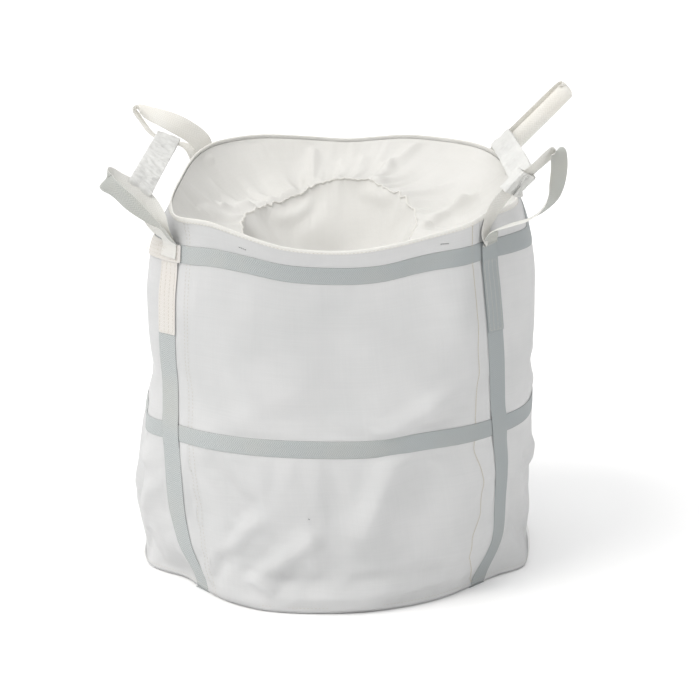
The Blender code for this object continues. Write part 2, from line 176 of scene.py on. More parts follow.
# Folds of the slack wall: the angle and height share of both ends, then height and half width.
# Shares are in thousandths and lengths in millimetres
WALL_FOLDS = (
    (312, 620, 300, 540, 18, 34), (300, 540, 287, 480, 18, 34), (308, 540, 298, 490, -12, 35),
    (290, 420, 281, 220, 20, 40), (299, 360, 294, 220, -12, 50), (266, 200, 252, 100, 16, 26),
    (262, 130, 257, 90, -6, 24), (249, 85, 254, 60, 16, 12), (238, 360, 247, 280, -14, 40),
    (250, 240, 240, 150, 14, 22), (243, 200, 237, 70, -10, 20), (247, 100, 272, 93, -8, 13),
    (279, 94, 305, 104, -7, 14), (262, 45, 303, 60, 8, 16), (231, 840, 229, 600, 7, 20),
    (306, 860, 310, 660, 10, 30), (236, 700, 250, 560, 10, 50), (205, 350, 200, 160, -14, 34),
    (196, 440, 212, 340, 12, 20), (214, 260, 204, 120, 10, 20), (340, 310, 352, 210, -9, 36),
    (352, 320, 343, 250, 14, 22), (335, 300, 345, 120, 14, 26), (70, 800, 88, 520, 14, 44),
    (110, 400, 95, 140, 16, 36), (62, 360, 80, 160, -14, 40), (120, 840, 112, 600, -12, 36),
    (165, 800, 175, 500, 14, 36), (150, 360, 168, 140, 14, 30), (20, 800, 10, 550, 12, 36),
    (15, 360, 25, 120, 14, 30),
)
GIRTH_RADIUS = 0.55      # metres of wall for each radian
WALL_HEIGHT = 1.08


def fold_height(x, y, folds):
    """Sum of the folds at places in metres; each is a ridge between two ends."""
    total = np.zeros(np.broadcast(x, y).shape)
    for x0, y0, x1, y1, height, half_width in folds:
        dx, dy = x1 - x0, y1 - y0
        part = np.clip(((x - x0) * dx + (y - y0) * dy) / (dx * dx + dy * dy), 0, 1)
        off = np.hypot(x - x0 - dx * part, y - y0 - dy * part)
        total += height * np.exp(-((off / half_width) ** 2))
    return total


STRAP_BUMPS = (          # angle, half width in degrees, height, lowest and highest height share
    (212, 7.5, 0.029, 0.12, 0.90),
    (307, 7.0, 0.030, 0.58, 1.10),
    (225, 8.0, 0.045, 0.93, 1.10),
)


def slouch(angle, share):
    """Radial change by which the slack wall leaves its even shape."""
    wave = 0.0030 * np.sin(2 * angle + 1.1 + 2.0 * share) + 0.0025 * np.sin(5 * angle - 3 * share)
    wave = wave * smooth_step(0.0, 0.12, share)
    for at, half_width, height, low, high in STRAP_BUMPS:
        off = (angle % (2 * math.pi) - math.radians(at)) / math.radians(half_width)
        reach = smooth_step(low, low + 0.15, share) * (1 - smooth_step(high, high + 0.12, share))
        wave = wave + height * np.exp(-(off**2)) * reach
    return wave


def surface(angle, share, out=0.0):
    """Points on the wall, out metres outside its face. Arrays of one shape."""
    angle, share = np.broadcast_arrays(np.asarray(angle, float), np.asarray(share, float))

    def place(a):
        r = plan(a, share) + slouch(a, share)
        return r * np.cos(a), r * np.sin(a)

    x, y = place(angle)
    x0, y0 = place(angle - 0.002)
    x1, y1 = place(angle + 0.002)
    length = np.hypot(x1 - x0, y1 - y0)
    nx, ny = (y1 - y0) / length, (x0 - x1) / length
    z = share_height(angle, share)
    return np.stack([x + nx * out, y + ny * out, z], axis=-1)


def corner_angle(corner, share):
    return np.radians(np.interp(share, SHARES, STRAP_CURVES[corner]))


def beside(corner, share, along):
    """The angle that lies some metres along the wall from a corner strap's middle."""
    angle = corner_angle(corner, share)
    return angle + along / plan(angle, share)


def wall_angle(column, share):
    """Angle of a wall column, counted from the back right strap anticlockwise."""
    quarter = int(column // QUARTER) % 4
    a = corner_angle(CORNERS[quarter], share)
    b = corner_angle(CORNERS[(quarter + 1) % 4], share)
    b = np.where(b < a, b + 2 * math.pi, b)
    return a + (b - a) * ((column % QUARTER) / QUARTER)


# ---- mesh helpers

def new_object(name, points, faces, uvs=None, smooth=True):
    mesh = bpy.data.meshes.new(name)
    mesh.from_pydata([tuple(map(float, p)) for p in points], [], faces)
    if uvs is not None:
        layer = mesh.uv_layers.new(name="metres")
        flat = np.asarray(uvs, np.float32)[[v for f in faces for v in f]]
        layer.data.foreach_set("uv", flat.ravel())
    if smooth:
        mesh.shade_smooth()
    mesh.update()
    made = bpy.data.objects.new(name, mesh)
    bpy.context.scene.collection.objects.link(made)
    return made


def grid_normals(points, ring=False, tube=False):
    """Unit normals of a grid of points (rows, columns, 3)."""
    if ring:
        across = np.roll(points, -1, axis=1) - np.roll(points, 1, axis=1)
    else:
        across = np.gradient(points, axis=1)
    if tube:
        along = np.roll(points, -1, axis=0) - np.roll(points, 1, axis=0)
    else:
        along = np.gradient(points, axis=0)
    normal = np.cross(across, along)
    return normal / np.maximum(np.linalg.norm(normal, axis=-1, keepdims=True), 1e-12)


def two_sided(name, middle, thickness, uv, ring=False, tube=False, edge=0.35, normals=None):
    """A closed sheet round a grid of middle points. ring joins the last column to the first, and
    tube the last row to the first. edge is the share of the thickness left along its borders."""
    rows, columns = middle.shape[:2]
    normals = grid_normals(middle, ring, tube) if normals is None else normals
    half = np.full((rows, columns, 1), thickness / 2)
    if not ring:
        half[:, [0, -1]] *= edge
    if not tube:
        half[[0, -1]] *= edge
    points = np.concatenate([(middle + normals * half).reshape(-1, 3),
                             (middle - normals * half).reshape(-1, 3)])
    last_row = rows if tube else rows - 1
    last_column = columns if ring else columns - 1
    # corners of the faces, each as side, row and column; past the last one they start again
    quads = []
    for r in range(last_row):
        for c in range(last_column):
            quads.append(((0, r, c), (0, r, c + 1), (0, r + 1, c + 1), (0, r + 1, c)))
            quads.append(((1, r, c), (1, r + 1, c), (1, r + 1, c + 1), (1, r, c + 1)))
    if not tube:
        r = rows - 1
        for c in range(last_column):
            quads.append(((0, 0, c + 1), (0, 0, c), (1, 0, c), (1, 0, c + 1)))
            quads.append(((0, r, c), (0, r, c + 1), (1, r, c + 1), (1, r, c)))
    if not ring:
        c = columns - 1
        for r in range(last_row):
            quads.append(((0, r, 0), (0, r + 1, 0), (1, r + 1, 0), (1, r, 0)))
            quads.append(((0, r + 1, c), (0, r, c), (1, r, c), (1, r + 1, c)))
    side, row, column = np.array(quads).reshape(-1, 3).T
    index = side * rows * columns + row % rows * columns + column % columns
    made = new_object(name, points, index.reshape(-1, 4).tolist())
    layer = made.data.uv_layers.new(name="metres")
    places = np.stack([column * uv[1], row * uv[0]], axis=-1)
    layer.data.foreach_set("uv", places.astype(np.float32).ravel())
    return made


def finer(obj):
    modifier = obj.modifiers.new("finer", "SUBSURF")
    modifier.levels = 1
    modifier.render_levels = 1
    return obj


# ---- cloth simulation

def draped(points, faces, pins, frames, growth=0.0, bending=0.5, tension=15.0, gravity=1.0):
    """Where a cloth mesh comes to rest. pins holds a weight for each point."""
    made = new_object("cloth_in_simulation", points, faces, smooth=False)
    group = made.vertex_groups.new(name="pin")
    for weight in np.unique(pins):
        if weight > 0:
            group.add(np.flatnonzero(pins == weight).tolist(), float(weight), "REPLACE")
    cloth = made.modifiers.new("cloth", "CLOTH")
    settings = cloth.settings
    settings.quality = 6
    settings.mass = 0.12
    settings.air_damping = 4.0
    settings.tension_stiffness = tension
    settings.compression_stiffness = tension
    settings.shear_stiffness = tension * 0.5
    settings.bending_stiffness = bending
    settings.shrink_min = -growth
    settings.vertex_group_mass = "pin"
    settings.effector_weights.gravity = gravity
    cloth.collision_settings.use_collision = False
    cloth.point_cache.frame_start = 1
    cloth.point_cache.frame_end = frames
    scene = bpy.context.scene
    for number in range(1, frames + 1):
        scene.frame_set(number)
    graph = bpy.context.evaluated_depsgraph_get()
    mesh = made.evaluated_get(graph).data
    result = np.empty(len(points) * 3, np.float32)
    mesh.vertices.foreach_get("co", result)
    scene.frame_set(1)
    bpy.data.objects.remove(made, do_unlink=True)
    return result.reshape(-1, 3).astype(float)


def grid_faces(rows, columns, ring=False):
    faces = []
    for r in range(rows - 1):
        for c in range(columns if ring else columns - 1):
            d = (c + 1) % columns
            faces.append((r * columns + c, r * columns + d, (r + 1) * columns + d, (r + 1) * columns + c))
    return faces


def fractal(points, scale, seed):
    """Smooth noise in about -1..1 at each point."""
    shift = Vector((seed * 17.3, seed * 5.1, seed * 9.7))
    return np.array([noise.fractal(Vector(p) * scale + shift, 1.0, 2.0, 3) for p in points])


def ridged(points, scale, octaves, shift=(0.0, 0.0, 0.0)):
    """Noise with sharp ridges, like crumpled cloth."""
    return np.array([
        noise.ridged_multi_fractal(Vector(p) * scale + Vector(shift), 1.0, 2.1, octaves, 0.9, 2.0)
        for p in points
    ])


def noise_row(places):
    return np.array([noise.noise(Vector(place)) for place in places])


def round_noise(angles, scale, seed):
    """Noise along a ring, which closes on itself."""
    return noise_row([(math.cos(a) * scale, math.sin(a) * scale, seed) for a in angles])


# ---- materials

def formula(operation, swapped=False):
    """A method that adds one Math node."""
    def method(self, other=0.0):
        pair = (other, self) if swapped else (self, other)
        return self.graph.math(operation, *pair)
    return method


class Field:
    """A node's output that takes part in formulas."""

    def __init__(self, graph, socket):
        self.graph = graph
        self.socket = socket

    __add__ = formula("ADD")
    __sub__ = formula("SUBTRACT")
    __rsub__ = formula("SUBTRACT", swapped=True)
    __mul__ = formula("MULTIPLY")
    __truediv__ = formula("DIVIDE")
    __mod__ = formula("MODULO")
    __pow__ = formula("POWER")
    __abs__ = formula("ABSOLUTE")
    floor = formula("FLOOR")
    fract = formula("FRACT")


class Graph:
    """A short way to write node trees."""

    def __init__(self, name):
        self.material = bpy.data.materials.new(name)
        self.material.use_nodes = True
        self.nodes = self.material.node_tree.nodes
        self.links = self.material.node_tree.links
        self.shader = self.nodes["Principled BSDF"]

    def put(self, socket, value):
        if isinstance(value, Field):
            self.links.new(value.socket, socket)
        else:
            socket.default_value = value

    def node(self, kind, sockets, out=0, **settings):
        """The output of a new node, with numbers, colours or fields put into its sockets."""
        node = self.nodes.new("ShaderNode" + kind)
        for setting, value in settings.items():
            setattr(node, setting, value)
        for socket, value in sockets.items():
            self.put(node.inputs[socket], value)
        return Field(self, node.outputs[out])

    def math(self, operation, a, b=0.0):
        return self.node("Math", {0: a, 1: b}, operation=operation)

    def uv(self):
        place = self.node("UVMap", {}, uv_map="metres")
        return [self.node("SeparateXYZ", {0: place}, out) for out in range(2)]

    def vector(self, x, y):
        return self.node("CombineXYZ", {0: x, 1: y})

    def position(self):
        return self.node("TexCoord", {}, "Object")

    def noise(self, vector, scale, detail=2.0, roughness=0.5):
        sockets = {"Vector": vector, "Scale": scale, "Detail": detail, "Roughness": roughness}
        return self.node("TexNoise", sockets, "Fac")

    def mix(self, factor, a, b):
        return self.node("Mix", {"Factor": factor, "A": a, "B": b}, "Result", data_type="RGBA")

    def ramp(self, value, low, high):
        return self.node("MapRange", {"Value": value, "From Min": low, "From Max": high}, "Result")

    def bump(self, height, distance, strength, *normal):
        sockets = {"Height": height, "Distance": distance, "Strength": strength}
        return self.node("Bump", {**sockets, **dict(zip(["Normal"], normal))}, "Normal")

    def surface(self, colour, roughness, normal):
        for name, value in (("Base Color", colour), ("Roughness", roughness), ("Normal", normal)):
            self.put(self.shader.inputs[name], value)
        return self.material

    def thin_cloth(self, colour, roughness, normal, see_through):
        """A surface that lets a share of the light pass."""
        thin = self.node("BsdfTranslucent", {"Color": colour, "Normal": normal})
        solid = Field(self, self.shader.outputs[0])
        both = self.node("MixShader", {0: see_through, 1: solid, 2: thin})
        self.put(self.nodes["Material Output"].inputs["Surface"], both)
        return self.surface(colour, roughness, normal)


def srgb(red, green, blue):
    """A colour given in 0-255 display values, as the linear colour that a shader takes."""
    linear = []
    for value in (red, green, blue):
        v = value / 255
        linear.append(v / 12.92 if v <= 0.04045 else ((v + 0.055) / 1.055) ** 2.4)
    return (*linear, 1.0)


def crown(field):
    """1 in the middle of each unit step, falling to 0 at its ends."""
    return 1.0 - abs(field.fract() - 0.5) ** 2.0 * 4.0


TAPE = 0.0026            # width of one woven polypropylene tape


def woven_cloth(name, light, dark, see_through):
    """Coated cloth woven from flat tapes: each tape has its own shade, and crosses over and under."""
    g = Graph(name)
    along, up = g.uv()
    u, v = along / TAPE, up / TAPE
    warp = g.noise(g.vector(u.floor(), up * 3.0), 1.7, 1.0)
    weft = g.noise(g.vector(along * 3.0, v.floor()), 1.7, 1.0)
    over = abs((u.floor() + v.floor()) % 2.0)
    weave = over * crown(u) + (1.0 - over) * crown(v)
    cloud = g.noise(g.position(), 5.0, 3.0)
    shade = warp * 0.14 + weft * 0.18 + cloud * 0.74 - weave * 0.05
    colour = g.mix(g.ramp(shade, 0.30, 0.80), light, dark)
    g.shader.inputs["Specular IOR Level"].default_value = 0.30
    crumple = g.noise(g.position(), 30.0, 4.0, 0.6)
    normal = g.bump(weave, 0.0002, 0.4, g.bump(crumple, 0.003, 0.30))
    return g.thin_cloth(colour, cloud * 0.18 + 0.42, normal, see_through)


CHEVRON = 0.0105         # width of one diagonal band across the webbing
RIB = 0.0056             # length of one diagonal rib along it
CORD = 0.0035            # width of one warp cord


def herringbone(name, light, dark, warm, see_through, right_shade=None):
    """Heavy webbing: diagonal ribs that turn back at each band across the width."""
    g = Graph(name)
    across, along = g.uv()
    band = g.math("PINGPONG", across, CHEVRON)
    waver = g.noise(g.vector(across, along), 40.0, 1.0) * 0.004
    rib = crown((along + waver + band * 0.8) / RIB)
    cord = abs((across / CORD).fract() - 0.5)
    yarn = g.noise(g.vector(across * 700.0, along * 120.0), 1.0, 2.0)
    cloud = g.noise(g.position(), 6.0, 3.0)
    shade = rib * 0.42 + yarn * 0.36 + cord * 0.30
    colour = g.mix(g.ramp(shade, 0.15, 0.85), dark, light)
    colour = g.mix(g.ramp(cloud, 0.45, 0.75) * 0.35, colour, warm)
    if right_shade is not None:
        # painted shade: the webbing is darker towards the bag's right, which is turned from the light
        right = g.node("SeparateXYZ", {0: g.position()})
        colour = g.mix(g.ramp(right, -0.30, 0.50) * 0.55, colour, right_shade)
    normal = g.bump(rib + (yarn + cord) * 0.4, 0.0005, 0.6)
    return g.thin_cloth(colour, yarn * 0.2 + 0.50, normal, see_through)


def sewing_thread(name, colour):
    g = Graph(name)
    twist = g.noise(g.position(), 900.0, 2.0)
    darker = tuple(c * 0.75 for c in colour[:3]) + (1.0,)
    return g.surface(g.mix(twist, darker, colour), 0.6, g.bump(twist, 0.0004, 0.5))


def make_materials():
    cool, warm = srgb(128, 136, 138), srgb(190, 187, 178)
    return {
        "wall": woven_cloth("wall_cloth", srgb(231, 231, 231), srgb(217, 218, 218), 0.34),
        # painted light: the inner and spout cloths are lighter copies of the wall cloth, standing in for
        # the light that fills the bag's inside
        "inner": woven_cloth("inner_cloth", srgb(238, 237, 234), srgb(229, 228, 224), 0.30),
        "spout": woven_cloth("spout_cloth", srgb(241, 240, 237), srgb(233, 232, 228), 0.26),
        # painted light: the hem cloth is a still lighter copy of the wall cloth, standing in for light on
        # the rim's hem
        "hem": woven_cloth("hem_cloth", srgb(250, 249, 246), srgb(240, 239, 235), 0.50),
        "sleeve": woven_cloth("sleeve_cloth", srgb(242, 242, 240), srgb(222, 222, 220), 0.33),
        # the last colour is painted shade, for the webbing towards the bag's right
        "webbing": herringbone("webbing", srgb(206, 209, 208), cool, warm, 0.10, srgb(136, 143, 146)),
        "loop_webbing": herringbone("loop_webbing", srgb(254, 253, 250), srgb(232, 231, 226),
                                    srgb(244, 238, 228), 0.35),
        "leg_webbing": herringbone("leg_webbing", srgb(240, 237, 233), srgb(220, 217, 212),
                                   srgb(234, 224, 216), 0.25),
        # painted shade: a greyer copy of the loop webbing, for the loop faces that lie in shadow
        "loop_shaded_face": herringbone("loop_webbing_painted_shade", srgb(206, 207, 202), srgb(150, 154, 152),
                                 srgb(196, 190, 172), 0.20),
        "thread": sewing_thread("seam_thread", srgb(226, 220, 208)),
        "beige_thread": sewing_thread("beige_thread", srgb(206, 192, 160)),
        "dark_thread": sewing_thread("dark_thread", srgb(70, 72, 76)),
    }


def dressed(obj, paint, body, slot, *nodes):
    """Gives a piece its material, its body if it rides on one, and its nodes. The slot is not used."""
    obj.data.materials.clear()
    obj.data.materials.append(paint)
    if body is not None:
        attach(obj, body)
    if nodes:
        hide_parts(*nodes)
    return obj


# ---- walls

def wall_grid():
    shares = np.linspace(0.0, 0.997, ROWS)
    grid = np.empty((ROWS, COLUMNS, 3))
    for c in range(COLUMNS):
        grid[:, c] = surface(wall_angle(c, shares), shares)
    return shares, grid


def wall_pins(shares):
    """1 under the webbing and along the edges, falling to 0 in the free cloth."""
    column = np.arange(COLUMNS)
    off = np.abs((column + QUARTER / 2) % QUARTER - QUARTER / 2)
    by_column = 1 - smooth_step(2.2, 3.4, off)
    by_row = np.zeros(ROWS)
    step = shares[1] - shares[0]
    for low, high in (MID_BELT, UPPER_BELT, (HEM_BOTTOM - 0.005, 1.1), (-1.0, 0.002)):
        gap = np.maximum(np.maximum(low - shares, shares - high), 0)
        by_row = np.maximum(by_row, 1 - smooth_step(0.2 * step, 1.3 * step, gap))
    pins = np.maximum(by_row[:, None], by_column[None, :])
    return np.where(pins > 0.5, 1.0, 0.0)


# Height share, and wall columns between the front right strap and the thread line beside it
WANDERING_SEAM = (
    (0.0, 1.5), (0.055, 5.4), (0.11, 8.3), (0.16, 8.3), (0.22, 5.8), (0.31, 5.3), (0.40, 6.5),
    (0.47, 5.5), (0.60, 4.5), (1.0, 4.0),
)


def make_walls(paint):
    shares, grid = wall_grid()
    points = grid.reshape(-1, 3)
    pins = wall_pins(shares)
    free = (1 - pins).reshape(-1)
    angles = np.arctan2(points[:, 1], points[:, 0]) % (2 * math.pi)
    folds = [
        (math.radians(a0) * GIRTH_RADIUS, s0 / 1000 * WALL_HEIGHT,
         math.radians(a1) * GIRTH_RADIUS, s1 / 1000 * WALL_HEIGHT, height / 1000, half_width / 1000)
        for a0, s0, a1, s1, height, half_width in WALL_FOLDS
    ]
    low_down = 1 - smooth_step(0.05, 0.75, points[:, 2])
    start = fractal(points, 4.0, 1) * (0.005 + 0.005 * low_down)
    start += fractal(points, 16.0, 2) * (0.0006 + 0.0018 * low_down)
    start += fold_height(angles * GIRTH_RADIUS, points[:, 2], folds)
    normals = grid_normals(grid, ring=True).reshape(-1, 3)
    points = points + normals * (start * free)[:, None]
    points = draped(points, grid_faces(ROWS, COLUMNS, True), pins.reshape(-1), 28,
                    growth=0.006, bending=4.0, tension=25.0, gravity=0.5)
    # the cloth is smooth high up and crumpled low down
    flat = grid.reshape(-1, 3)
    gain = 1.45 - 1.0 * smooth_step(0.30, 0.75, flat[:, 2])
    crumple = ridged(flat, 5.0, 4)
    crumple = smoothed(crumple, 0.6) - crumple.mean()
    crumple *= 0.0042 * free * (1 - smooth_step(0.12, 0.50, flat[:, 2]))
    points = flat + (points - flat) * gain[:, None] + normals * crumple[:, None]
    grid = points.reshape(ROWS, COLUMNS, 3)
    starts = {corner: number * QUARTER + SEAM_SIDE[corner] * SEAM_COLUMNS
              for number, corner in enumerate(CORNERS)}
    spacing_up = 1.04 / (ROWS - 1)
    spacing_round = GIRTH / COLUMNS
    for number, side in enumerate(("back", "left", "front", "right")):
        low, high = starts[CORNERS[number]], starts[CORNERS[(number + 1) % 4]]
        high = high if high > low else high + COLUMNS
        columns = np.arange(low, high + 1 + LAPPED) % COLUMNS
        part = grid[:, columns]
        lift = np.zeros(len(columns))
        lift[-LAPPED - 1:] = (0.0003, 0.0007, 0.0007)
        if side == "left":
            lift = -lift
        part = part + grid_normals(part) * lift[None, :, None]
        piece = two_sided(side + "_cloth", part, CLOTH, (spacing_up, spacing_round), edge=0.2)
        dressed(finer(piece), paint["wall"], "bag", "wall_cloth", side + "_panel")

    def line_at(place):
        low = np.floor(place).astype(int)
        part = (place - low)[:, None]
        rows = np.arange(ROWS)
        line = grid[rows, low % COLUMNS] * (1 - part) + grid[rows, (low + 1) % COLUMNS] * part
        return line, line * (1, 1, 0)

    doubled = [line_at(np.full(ROWS, starts[corner] + shift))
               for corner in CORNERS[:3] for shift in (0.45, 1.35)]
    away = np.interp(shares, *zip(*WANDERING_SEAM))
    wandering = line_at(starts["front_right"] + SEAM_COLUMNS - away)
    return doubled, wandering


# ---- webbing on the wall

WEB_STEP = 0.012         # length of one mesh row of a strap
UNDER = 0.0016           # middle of the belts, from the wall's middle
LAYER = WEBBING + 0.0003


def strap_level(share, layer):
    """Distance from the wall of the strap (layer 0) and of what is sewn on it, which all pass
    over both belts."""
    over = 0.0
    for low, high in (MID_BELT, UPPER_BELT):
        over = over + (smooth_step(low - 0.022, low - 0.003, share)
                       * (1 - smooth_step(high + 0.003, high + 0.022, share)))
    return UNDER + LAYER * (layer + over)


def wall_band(name, corner, along, low, high, layer, paint, slot, node):
    """Webbing up the wall at a corner, between two height shares."""
    shares = np.linspace(low, high, max(3, int((high - low) * WALL_LENGTH / WEB_STEP)))
    across = np.linspace(-STRAP_WIDTH / 2, STRAP_WIDTH / 2, 9)
    across[[0, -1]] *= 0.985
    grid = np.empty((len(shares), len(across), 3))
    wobble = noise_row([(s * 6, along * 9 + layer * 2.2, 3.1) for s in shares])
    out = strap_level(shares, layer)
    for c, offset in enumerate(across):
        grid[:, c] = surface(beside(corner, shares, along + offset + 0.003 * wobble), shares, out)
    made = two_sided(name, grid, WEBBING, ((high - low) * WALL_LENGTH / len(shares), STRAP_WIDTH / 8))
    dressed(finer(made), paint, "bag", slot, node)


def belt(name, span, layer, paint, node, from_column=0, columns=COLUMNS):
    """Webbing round the wall between two height shares. A layer above 0 lies on the belt, and
    rises to that layer where it passes over the strap and the leg."""
    shares = np.linspace(*span, 7)
    grid = np.empty((len(shares), columns, 3))
    for c in range(columns):
        column = (from_column + c) % COLUMNS
        sag = 0.0022 * noise.noise(Vector((column * 0.06, span[0] * 9, 0.4)))
        near = np.abs((column + QUARTER / 2) % QUARTER - QUARTER / 2)
        sag *= float(smooth_step(1.0, 6.0, near))
        angle = wall_angle(column, shares)
        rise = (layer - 1) * (1 - float(smooth_step(2.0, 3.4, near))) + 1 if layer else 0
        grid[:, c] = surface(angle, shares + sag, UNDER + LAYER * rise)
    ring = columns == COLUMNS
    spacing = (0.050 / 6, GIRTH / COLUMNS)
    made = two_sided(name, grid, WEBBING, spacing, ring=ring)
    swap_uv(made)
    dressed(finer(made), paint, "bag", "webbing", node)


def swap_uv(obj):
    layer = obj.data.uv_layers["metres"]
    data = np.empty(len(layer.data) * 2, np.float32)
    layer.data.foreach_get("uv", data)
    layer.data.foreach_set("uv", data.reshape(-1, 2)[:, ::-1].ravel())


def make_webbing(paint):
    web, leg_web = paint["webbing"], paint["leg_webbing"]
    belt("upper_belt_webbing", UPPER_BELT, 0, web, "upper_belt")
    belt("mid_belt_webbing", MID_BELT, 0, web, "mid_belt")
    for corner in CORNERS:
        wall_band(corner + "_strap_webbing", corner, 0.0, 0.0, UPPER_BELT[1], 0, web, "webbing",
                  corner + "_strap")
        top = UPPER_BELT[1] if corner.startswith("front") else UPPER_BELT[0]
        grey = corner == "front_right"
        wall_band(corner + "_leg_webbing", corner, 0.001, LEG_BOTTOM, top, 1,
                  web if grey else leg_web, "webbing" if grey else "loop_webbing",
                  corner + "_loop_leg")
    belt("upper_belt_end_webbing", UPPER_BELT, 3, leg_web, "upper_belt_end",
         2 * QUARTER - 13, 17)
    belt("mid_belt_end_webbing", MID_BELT, 2, web, "mid_belt_end", QUARTER - 4, 9)


# ---- stitching

def stitches(name, lines, paint, pitch=0.0105, length=0.0072, thickness=0.0011, lift=0.0012):
    """Short threads along lines of points. Each line comes with the outward direction of its
    points; every stitch dips into the cloth at both ends."""
    points, faces = [], []
    for line, outward in lines:
        line, outward = np.asarray(line, float), np.asarray(outward, float)
        steps = np.linalg.norm(np.diff(line, axis=0), axis=1)
        run = np.concatenate([[0], np.cumsum(steps)])
        count = int(run[-1] / pitch)
        for n in range(count):
            middle = (n + 0.5) * run[-1] / count
            ends = []
            for at in (middle - length / 2, middle, middle + length / 2):
                ends.append(np.array([np.interp(at, run, line[:, k]) for k in range(3)]))
            out = np.array([np.interp(middle, run, outward[:, k]) for k in range(3)])
            out /= np.linalg.norm(out)
            along = ends[2] - ends[0]
            along /= np.linalg.norm(along)
            side = np.cross(along, out)
            base = len(points)
            shape = ((0, -0.0006, 0.25), (0.25, lift, 0.9), (0.75, lift, 0.9), (1, -0.0006, 0.25))
            for part, rise, width in shape:
                place = ends[0] + (ends[2] - ends[0]) * part
                if 0 < part < 1:
                    place = ends[1] + (ends[2] - ends[0]) * (part - 0.5)
                for turn in range(5):
                    a = 2 * math.pi * turn / 5
                    around = side * math.cos(a) + out * math.sin(a)
                    points.append(place + out * rise + around * thickness / 2 * width)
            for ring in range(3):
                for turn in range(5):
                    a, b = base + ring * 5 + turn, base + ring * 5 + (turn + 1) % 5
                    faces.append((a, b, b + 5, a + 5))
            faces.append(tuple(base + t for t in range(4, -1, -1)))
            faces.append(tuple(base + 15 + t for t in range(5)))
    made = new_object(name, points, faces)
    return dressed(made, paint, "bag", "thread")


def on_wall(angles, shares, out):
    """A line on the wall with its outward directions."""
    angles, shares = np.broadcast_arrays(np.asarray(angles, float), np.asarray(shares, float))
    low = surface(angles, shares, out)
    return low, surface(angles, shares, out + 0.01) - low


def make_stitching(paint, doubled, wandering):
    thread = paint["thread"]
    stitches("panel_seam_stitches", doubled, thread, lift=0.0020, thickness=0.0010)
    stitches("front_right_seam_stitches", [wandering], paint["beige_thread"],
             pitch=0.0080, length=0.0074, lift=0.0020, thickness=0.0014)
    legs = []
    for corner in CORNERS:
        high = UPPER_BELT[0] - 0.004
        shares = np.linspace(LEG_BOTTOM + 0.006, high, 30)
        top = strap_level(shares, 1) + WEBBING / 2
        for along in (-0.024, -0.008, 0.008, 0.024):
            legs.append(on_wall(beside(corner, shares, along), shares, top))
        for share in (LEG_BOTTOM + 0.006, high):
            across = np.linspace(-0.024, 0.024, 9)
            top = strap_level(share, 1) + WEBBING / 2
            legs.append(on_wall(beside(corner, share, across), np.full(9, share), top))
    stitches("leg_stitches", legs, thread, thickness=0.0012, lift=0.0008)
    box = []
    box_out = UNDER + 3 * LAYER + WEBBING / 2
    low, high = UPPER_BELT[0] + 0.006, UPPER_BELT[1] - 0.006
    for share in np.linspace(low, high, 5):
        across = np.linspace(-0.150, 0.034, 24)
        box.append(on_wall(beside("front_left", share, across), np.full(24, share), box_out))
    for along in (-0.044, -0.018, 0.008, 0.034):
        shares = np.linspace(low, high, 6)
        box.append(on_wall(beside("front_left", shares, along), shares, box_out))
    for first, last in ((-0.044, 0.034), (0.034, -0.044)):
        shares, across = np.linspace(low, high, 8), np.linspace(first, last, 8)
        angles = np.array([float(beside("front_left", s, a)) for s, a in zip(shares, across)])
        box.append(on_wall(angles, shares, box_out))
    stitches("belt_end_stitches", box, thread, thickness=0.0012, lift=0.0008)
    angles = np.radians(np.linspace(0, 360, 361))
    hem = [on_wall(angles, HEM_BOTTOM + 0.003, 0.0022), on_wall(angles, 0.012, 0.0024)]
    stitches("hem_stitches", hem, thread, thickness=0.0010, lift=0.0010)
    marks = []
    for angle, share, long in ((246.5, 0.952, 0.020), (302, 0.955, 0.018), (265.5, 0.262, 0.006)):
        half = long / 2 / 0.53
        turn = np.radians(angle) + np.linspace(-half, half, 6)
        marks.append(on_wall(turn, share + np.linspace(0.002, -0.002, 6), 0.0012))
    stitches("dark_threads", marks, paint["dark_thread"], pitch=0.0050, length=0.0056, thickness=0.0016)


# ---- rim hem and base

def make_hem(paint):
    """The rim's cloth folded over twice, a little puckered by its stitching."""
    angles = np.array([wall_angle(c / 2, 1.0) for c in range(2 * COLUMNS)])
    shares = np.array([HEM_BOTTOM, 0.988, 0.991, 0.9945, 0.998, 0.9996, 1.0])
    grid = np.empty((len(shares), len(angles), 3))
    pucker = round_noise(angles, 16, 2.0)
    for r, share in enumerate(shares):
        grid[r] = surface(angles, share, 0.0006 + 0.0014 * pucker * (share - HEM_BOTTOM) / 0.014)
    made = two_sided("rim_hem_cloth", grid, 0.0040, (0.0024, GIRTH / len(angles)), ring=True, edge=0.5)
    swap_uv(made)
    dressed(finer(made), paint["hem"], "bag", "wall_cloth", "rim_hem")


